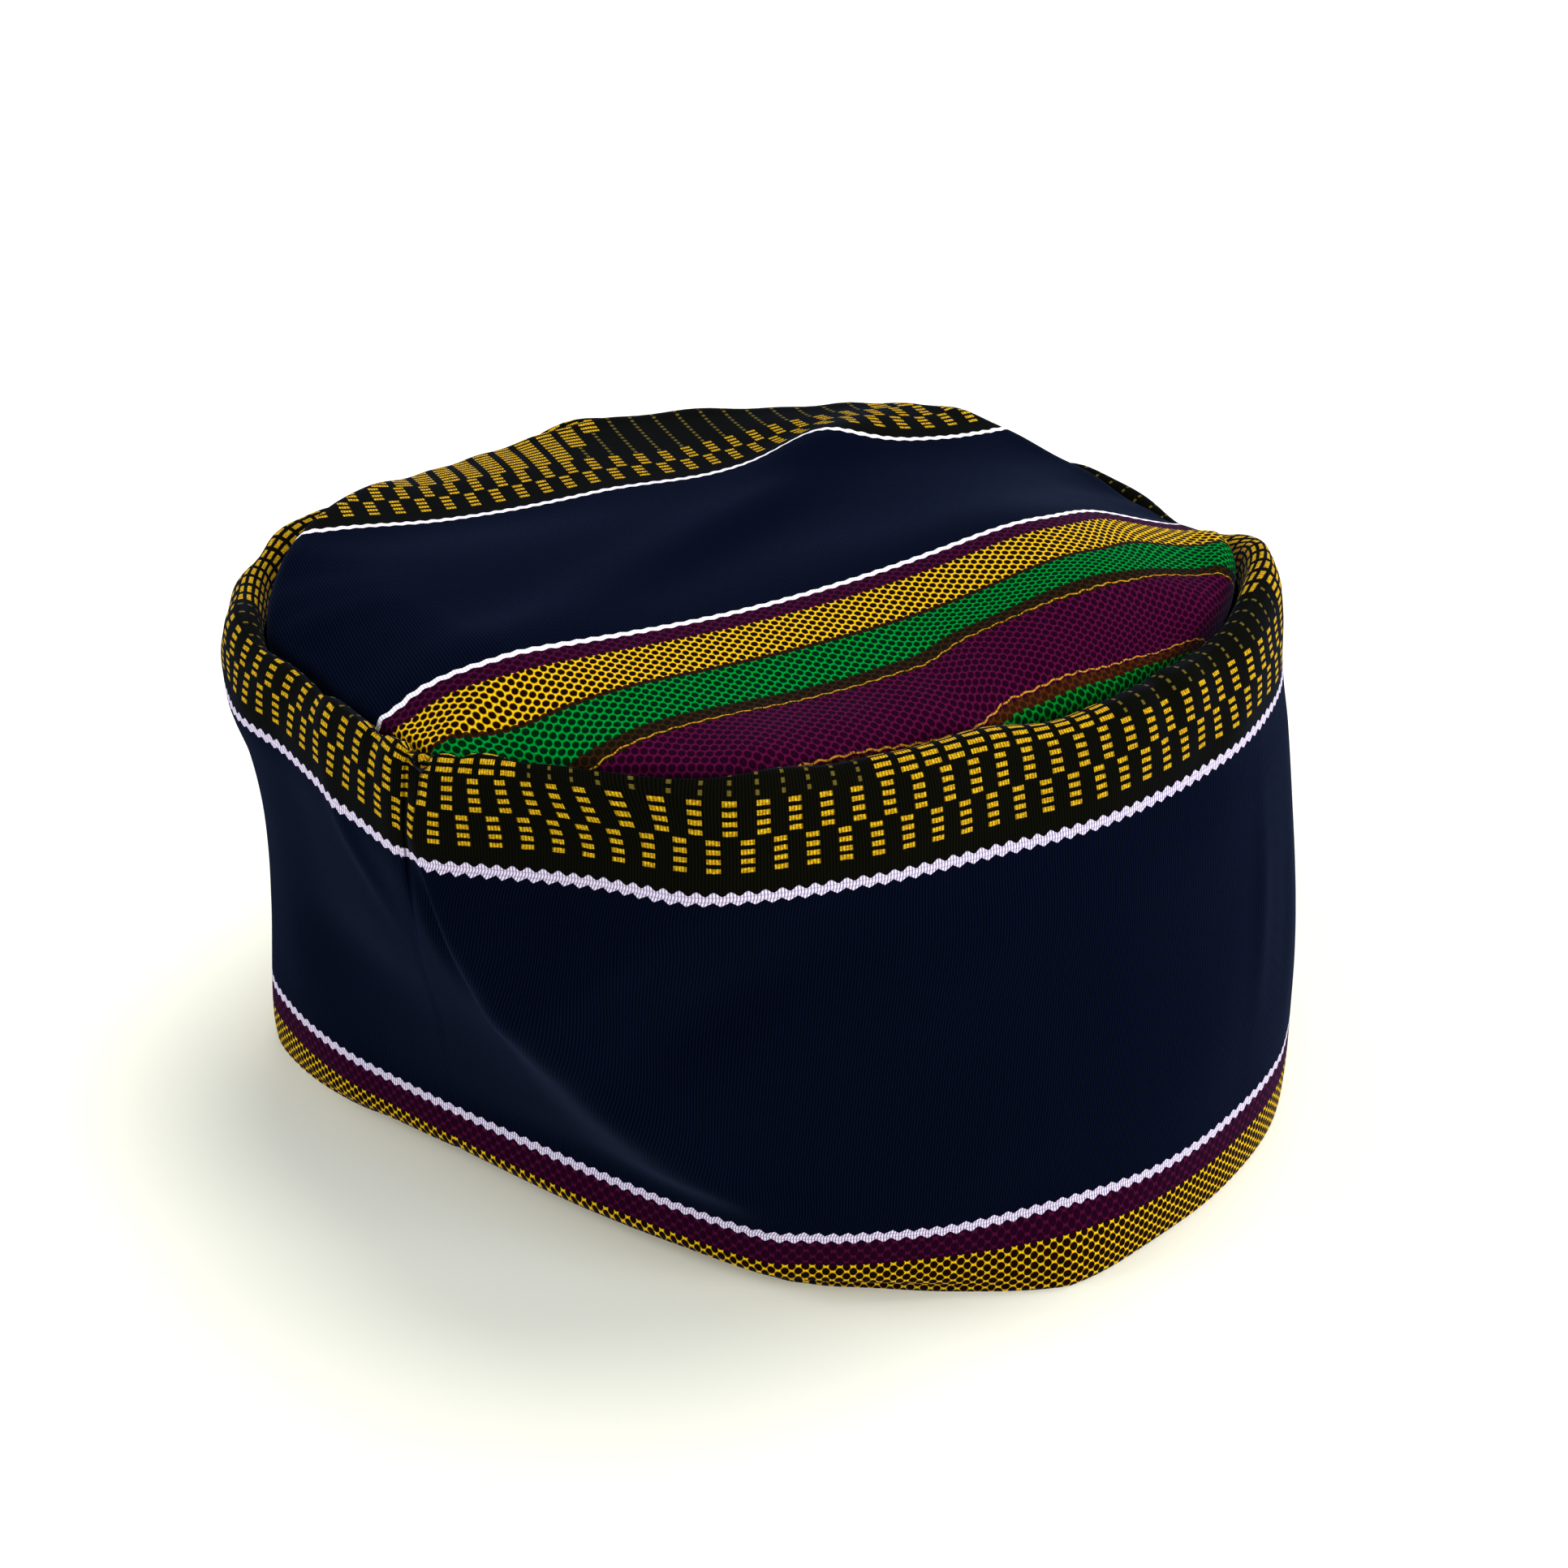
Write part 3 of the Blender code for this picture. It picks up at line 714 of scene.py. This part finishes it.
def stepped_dashes():
    """Gold dashes outside the white line: two rows of short groups, then lozenges of bars between dots."""
    tree, given, made = new_group(
        "stepped dashes",
        [("Along", 0.0), ("Out", 0.0), ("Bar Pitch", 4.3), ("Bar Shift", 0.0), ("Lozenge", 0.0)],
        [("Dash", NUMBER), ("Fine", NUMBER)],
    )
    m = partial(maths, tree)
    dash = 1.5
    dashes_in_row = 4.0
    first_row = 4.0
    column = 2 * TOOTH
    group_half, bar_half, dot_half = 0.20, 0.34, 0.07
    half_repeat = 12.0
    lozenge_row = 4.0
    lozenge_reach = 7.5
    steps = m("DIVIDE", m("SUBTRACT", given["Out"], first_row), dash)
    row = m("FLOOR", m("DIVIDE", steps, dashes_in_row))
    from_middle = m("ABSOLUTE", m("SUBTRACT", m("FRACT", steps), 0.5))
    tall = rise(tree, from_middle, 0.22, 0.30, 1.0, 0.0)

    def columns(pitch, shift, half):
        place = m("FRACT", m("ADD", m("DIVIDE", given["Along"], pitch), shift))
        return rise(tree, m("ABSOLUTE", m("SUBTRACT", place, 0.5)), half - 0.02, half + 0.02, 1.0, 0.0)

    def only(row_number):
        return m("COMPARE", row, float(row_number), 0.1)

    first = m("MULTIPLY", columns(column, 0.0, group_half), only(0))
    second = m("MULTIPLY", columns(column, 0.5, group_half), only(1))
    outer = m("GREATER_THAN", row, 1.5)
    number = m("FLOOR", m("ADD", m("DIVIDE", given["Along"], given["Bar Pitch"]), given["Bar Shift"]))
    to_middle = m("PINGPONG", m("ADD", number, given["Lozenge"]), half_repeat)
    up = m("ABSOLUTE", m("SUBTRACT", row, lozenge_row))
    inside = m("LESS_THAN", m("ADD", to_middle, up), lozenge_reach)
    outside = m("SUBTRACT", 1.0, inside)
    bars = m("MULTIPLY", columns(given["Bar Pitch"], given["Bar Shift"], bar_half), inside)
    dots = m("MULTIPLY", columns(given["Bar Pitch"], given["Bar Shift"], dot_half), outside)
    started = m("GREATER_THAN", steps, 0.0)
    wide = m("MULTIPLY", bars, outer)
    whole = m("MAXIMUM", m("MAXIMUM", first, second), wide)
    feed(tree, m("MULTIPLY", m("MULTIPLY", whole, tall), started), made["Dash"])
    feed(tree, m("MULTIPLY", m("MULTIPLY", dots, outer), tall), made["Fine"])
    return tree


def stripe_ramp(tree, place, which):
    """The colour of the stripe at a place across the cloth, of its net or of its spots."""
    node = tree.nodes.new("ShaderNodeValToRGB")
    ramp = node.color_ramp
    ramp.interpolation = "CONSTANT"
    for k, stripe in enumerate(STRIPES):
        at = (stripe.start - RAMP_START) / (RAMP_END - RAMP_START)
        stop = ramp.elements[0] if k == 0 else ramp.elements.new(at)
        stop.position = at
        stop.color = paint(*getattr(stripe, which))
    ramp.elements.remove(ramp.elements[len(ramp.elements) - 1])
    feed(tree, place, node.inputs[0])
    return node.outputs[0]


def striped_cloth():
    """The whole cloth: its colours and relief at a place along and across it, in mm."""
    tree, given, made = new_group(
        "striped cloth",
        [
            ("Along", 0.0), ("Across", 0.0), ("Purple Extra", 0.0), ("Yellow Stretch", 1.0),
            ("Row", 2.13), ("Spot", 0.66), ("Bar Pitch", 4.3), ("Bar Shift", 0.0), ("Lozenge", 0.0),
            ("Line Half", 0.85), ("Line Swing", 0.3),
            # By default the white line takes the band's colours, which hold painted shade
            ("Line Shade", paint(*SHADED_BAND_WHITE_LINE[0])), ("Line Light", paint(*SHADED_BAND_WHITE_LINE[1])),
        ],
        [("Colour", COLOUR), ("Height", NUMBER), ("Rough", NUMBER)],
    )
    m = partial(maths, tree)
    place = cloth_vector(tree, given["Along"], given["Across"])
    loose = m("MULTIPLY_ADD", cloud(tree, place, 0.35), 0.5, -0.25)
    along = m("ADD", given["Along"], loose)
    purple_here = m("ADD", given["Purple Extra"], PURPLE_WIDTH)
    into_purple = m("DIVIDE", m("SUBTRACT", given["Across"], NAVY_WIDTH), purple_here)
    kept_in = m("MAXIMUM", m("MINIMUM", into_purple, 1.0), 0.0)
    widened = m("MULTIPLY", kept_in, given["Purple Extra"])
    drift = m("MULTIPLY", m("SUBTRACT", cloud(tree, place, 0.9), 0.5), 0.25)
    across = m("ADD", m("SUBTRACT", given["Across"], widened), drift)
    scallop = m("MULTIPLY", wave(tree, along, NET_PITCH, math.pi / 2), 0.20)
    edge = m("ADD", across, scallop)
    beyond = m("MAXIMUM", m("SUBTRACT", edge, YELLOW_START), 0.0)
    squeezed = m("SUBTRACT", edge, m("MULTIPLY", beyond, m("SUBTRACT", 1.0, given["Yellow Stretch"])))
    is_net = m("GREATER_THAN", across, NAVY_WIDTH)
    not_net = m("SUBTRACT", 1.0, is_net)
    stripe_at = m("ADD", m("MULTIPLY", squeezed, is_net), m("MULTIPLY", across, not_net))
    scaled = m("DIVIDE", m("SUBTRACT", stripe_at, RAMP_START), RAMP_END - RAMP_START)

    below = m("SUBTRACT", across, YELLOW_START + 0.55)
    net = place_group(tree, DOTTED_NET, along=along, across=below, row=given["Row"], spot=given["Spot"])[0]
    rib_share = rise(tree, wave(tree, given["Along"], RIB), -1.0, 1.0)
    fleck = cloud(tree, place, 2.3, 3.0)
    woven = m("MULTIPLY", rib_share, m("MULTIPLY_ADD", fleck, 0.8, 0.35))
    share = m("ADD", m("MULTIPLY", net, is_net), m("MULTIPLY", woven, not_net))
    ground = mixed(tree, share, stripe_ramp(tree, scaled, "hole"), stripe_ramp(tree, scaled, "net"))
    thread_shade = m("MULTIPLY_ADD", rib_share, 0.22, 0.84)
    shaded = mixed(tree, m("SUBTRACT", 1.0, thread_shade), ground, (0.0, 0.0, 0.0, 1.0))

    swinging = m("ADD", across, m("MULTIPLY", wave(tree, along, 2.9), 0.16))
    wavy = m("MAXIMUM", *(
        rise(tree, m("ABSOLUTE", m("SUBTRACT", swinging, line)), 0.08, 0.22, 1.0, 0.0) for line in WAVY_LINES
    ))
    broken = m("MULTIPLY", wavy, rise(tree, fleck, 0.38, 0.52))
    with_wavy = mixed(tree, broken, shaded, paint(*WAVY_GOLD))

    out = m("MULTIPLY", across, -1.0)
    dashes = place_group(
        tree, STEPPED_DASHES, along=given["Along"], out=out, bar_pitch=given["Bar Pitch"],
        bar_shift=given["Bar Shift"], lozenge=given["Lozenge"],
    )
    gold = mixed(tree, rise(tree, fleck, 0.35, 0.65), paint(*GOLD[0]), paint(*GOLD[1]))
    split = m("MULTIPLY_ADD", rib_share, 0.6, 0.4)
    with_dots = mixed(tree, m("MULTIPLY", dashes["Fine"], 0.55), with_wavy, paint(*DOT_GOLD))
    with_gold = mixed(tree, m("MULTIPLY", dashes["Dash"], split), with_dots, gold)

    lines = []
    for centre, flip in ((0.0, 1.0), (NAVY_WIDTH, -1.0)):
        from_line = m("MULTIPLY", m("SUBTRACT", given["Across"], centre), flip)
        lines.append(place_group(
            tree, TOOTHED_LINE, along=given["Along"], across=from_line, half=given["Line Half"],
            swing=given["Line Swing"],
        ))
    white = m("MAXIMUM", *(line["Mask"] for line in lines))
    thread = m("MAXIMUM", *(m("MULTIPLY", line["Mask"], line["Thread"]) for line in lines))
    line_colour = mixed(tree, thread, given["Line Shade"], given["Line Light"])
    feed(tree, mixed(tree, white, with_gold, line_colour), made["Colour"])

    height = m("MULTIPLY", rib_share, 0.35)
    height = m("ADD", height, m("MULTIPLY", m("MULTIPLY", net, is_net), 0.45))
    height = m("ADD", height, m("MULTIPLY", dashes["Dash"], 0.35))
    height = m("ADD", height, m("MULTIPLY", white, 0.5))
    feed(tree, m("ADD", height, m("MULTIPLY", fleck, 0.25)), made["Height"])
    feed(tree, m("MULTIPLY_ADD", fleck, 0.2, 0.72), made["Rough"])
    return tree


TOOTHED_LINE = toothed_line()
DOTTED_NET = dotted_net()
STEPPED_DASHES = stepped_dashes()
STRIPED_CLOTH = striped_cloth()


def principled(name):
    """A new material, its node tree and its shader."""
    material = bpy.data.materials.new(name)
    material.use_nodes = True
    return material, material.node_tree, material.node_tree.nodes["Principled BSDF"]


def place_in_cloth(tree):
    """Along and across the cloth in mm, read from the piece's own UV map, which is in metres."""
    uv = tree.nodes.new("ShaderNodeUVMap")
    uv.uv_map = "cloth"
    parts = tree.nodes.new("ShaderNodeSeparateXYZ")
    feed(tree, uv.outputs[0], parts.inputs[0])
    return [maths(tree, "MULTIPLY", parts.outputs[k], 1000.0) for k in (0, 1)]


def bump_from(tree, shader, height, strength, deepest):
    """Gives the shader the relief of a height from 0 to 1, whose deepest is in mm."""
    bump = tree.nodes.new("ShaderNodeBump")
    bump.inputs["Strength"].default_value = strength
    bump.inputs["Distance"].default_value = deepest * MM
    feed(tree, height, bump.inputs["Height"])
    feed(tree, bump.outputs[0], shader.inputs["Normal"])


def cloth_material(name, cut_shift=0.0, lozenge=0.0, **cloth):
    """The striped cloth on one piece. Past the band's cut its lozenges are shifted by some columns."""
    material, tree, shader = principled(name)
    along, across = place_in_cloth(tree)
    past_cut = maths(tree, "GREATER_THAN", along, LOZENGE_CUT)
    column = maths(tree, "MULTIPLY_ADD", past_cut, cut_shift, lozenge)
    woven = place_group(tree, STRIPED_CLOTH, along=along, across=across, lozenge=column, **cloth)
    feed(tree, woven["Colour"], shader.inputs["Base Color"])
    feed(tree, woven["Rough"], shader.inputs["Roughness"])
    bump_from(tree, shader, woven["Height"], 0.8, 0.13)
    shader.inputs["Sheen Weight"].default_value = 0.05
    shader.inputs["Sheen Roughness"].default_value = 0.35
    shader.inputs["Sheen Tint"].default_value = (0.38, 0.52, 1.0, 1.0)
    shader.inputs["Specular IOR Level"].default_value = 0.0
    return material


def reverse_material():
    """The plain dark reverse of the cloth, inside the cap."""
    material, tree, shader = principled("cloth_reverse")
    along, across = place_in_cloth(tree)
    place = cloth_vector(tree, along, across)
    weave = maths(tree, "MULTIPLY", wave(tree, along, RIB), wave(tree, across, RIB))
    share = rise(tree, weave, -1.0, 1.0)
    mottled = maths(tree, "MULTIPLY", share, maths(tree, "ADD", cloud(tree, place, 0.6, 3.0), 0.4))
    dark, light = (paint(*colour) for colour in REVERSE_SIDE)
    feed(tree, mixed(tree, mottled, dark, light), shader.inputs["Base Color"])
    bump_from(tree, shader, share, 0.6, 0.12)
    shader.inputs["Roughness"].default_value = 0.88
    shader.inputs["Specular IOR Level"].default_value = 0.1
    return material


def floor_material():
    material, tree, shader = principled("pale_floor")
    shader.inputs["Base Color"].default_value = FLOOR_COLOUR
    shader.inputs["Roughness"].default_value = 0.9
    return material


def make_side_band(fold, reverse):
    """The tall band round the head, with its hem turned under and its top edge rolled over to the crown."""
    grid, places = smooth_rows(band_rings(fold), BAND_ROWS)
    along, across = band_cloth(grid, places)
    out = wall_facing(grid)
    grid = grid + out * band_folds(along, across)[:, :, None]
    outer = grid + facing(grid) * band_relief(along, across)[:, :, None]
    inner = grid - out * BAND_WALL
    for face in (outer, inner):
        face[:, :, 2] = face[:, :, 2].clip(0.0)
    # The band's spots are larger than the crown's: painted shade that darkens its nets, as its wall is less
    # lit
    cloth = cloth_material(
        "striped_band_cloth", cut_shift=LOZENGE_SHIFT, purple_extra=1.1, yellow_stretch=0.5, row=2.13,
        spot=0.74, bar_pitch=4.3, bar_shift=0.3, line_swing=0.36,
    )
    band = cloth_object("side_band_cloth", outer, inner, along, across, (cloth, reverse))
    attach(band, "root")
    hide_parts("side_band")


def make_crown_top(fold, reverse):
    """The soft panel over the head, sewn inside the band's rolled edge by its turned-down rim."""
    grid = crown_rings(fold)
    along, across = crown_cloth(grid)
    inner = grid - wall_facing(grid) * CROWN_WALL
    shade, light = (paint(*colour) for colour in CROWN_WHITE_LINE)
    cloth = cloth_material(
        "striped_crown_cloth", lozenge=8.0, row=1.8, spot=0.62, bar_pitch=5.0, bar_shift=0.5,
        line_half=0.62, line_swing=0.18, line_shade=shade, line_light=light,
    )
    crown = cloth_object("crown_top_cloth", grid, inner, along, across, (cloth, reverse), hub=True)
    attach(crown, "root")
    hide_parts("crown_top")


def make_floor():
    """The pale surface that the cap lies on."""
    bpy.ops.mesh.primitive_plane_add(size=FLOOR_SIZE, location=(0, 0, 0))
    floor = bpy.context.active_object
    floor.name = "floor"
    floor.data.materials.append(floor_material())


def make_lights():
    """The studio's even light and its distant lamps."""
    world = bpy.data.worlds.new("studio")
    bpy.context.scene.world = world
    world.use_nodes = True
    background = world.node_tree.nodes["Background"]
    background.inputs["Color"].default_value = WORLD_COLOUR
    background.inputs["Strength"].default_value = WORLD_STRENGTH
    for sun in SUNS:
        light = bpy.data.lights.new(sun.name, "SUN")
        light.angle = math.radians(sun.softness)
        light.energy = sun.strength
        light.color = sun.colour
        lamp = bpy.data.objects.new(sun.name, light)
        bpy.context.scene.collection.objects.link(lamp)
        lamp.rotation_euler = (math.radians(90 - sun.height), 0.0, math.radians(sun.bearing + 90))


def make_camera():
    lens = bpy.data.cameras.new("camera")
    lens.lens = CAMERA_LENS
    lens.sensor_width = CAMERA_SENSOR
    lens.clip_start = 0.01
    camera = bpy.data.objects.new("camera", lens)
    bpy.context.scene.collection.objects.link(camera)
    camera.location = CAMERA_PLACE
    camera.rotation_euler = (math.radians(90 - CAMERA_PITCH), 0.0, 0.0)
    bpy.context.scene.camera = camera


def main():
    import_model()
    make_floor()
    fold = band_columns()
    reverse = reverse_material()
    make_side_band(fold, reverse)
    make_crown_top(fold, reverse)
    make_lights()
    make_camera()
    bpy.context.scene.view_settings.view_transform = "Standard"


main()
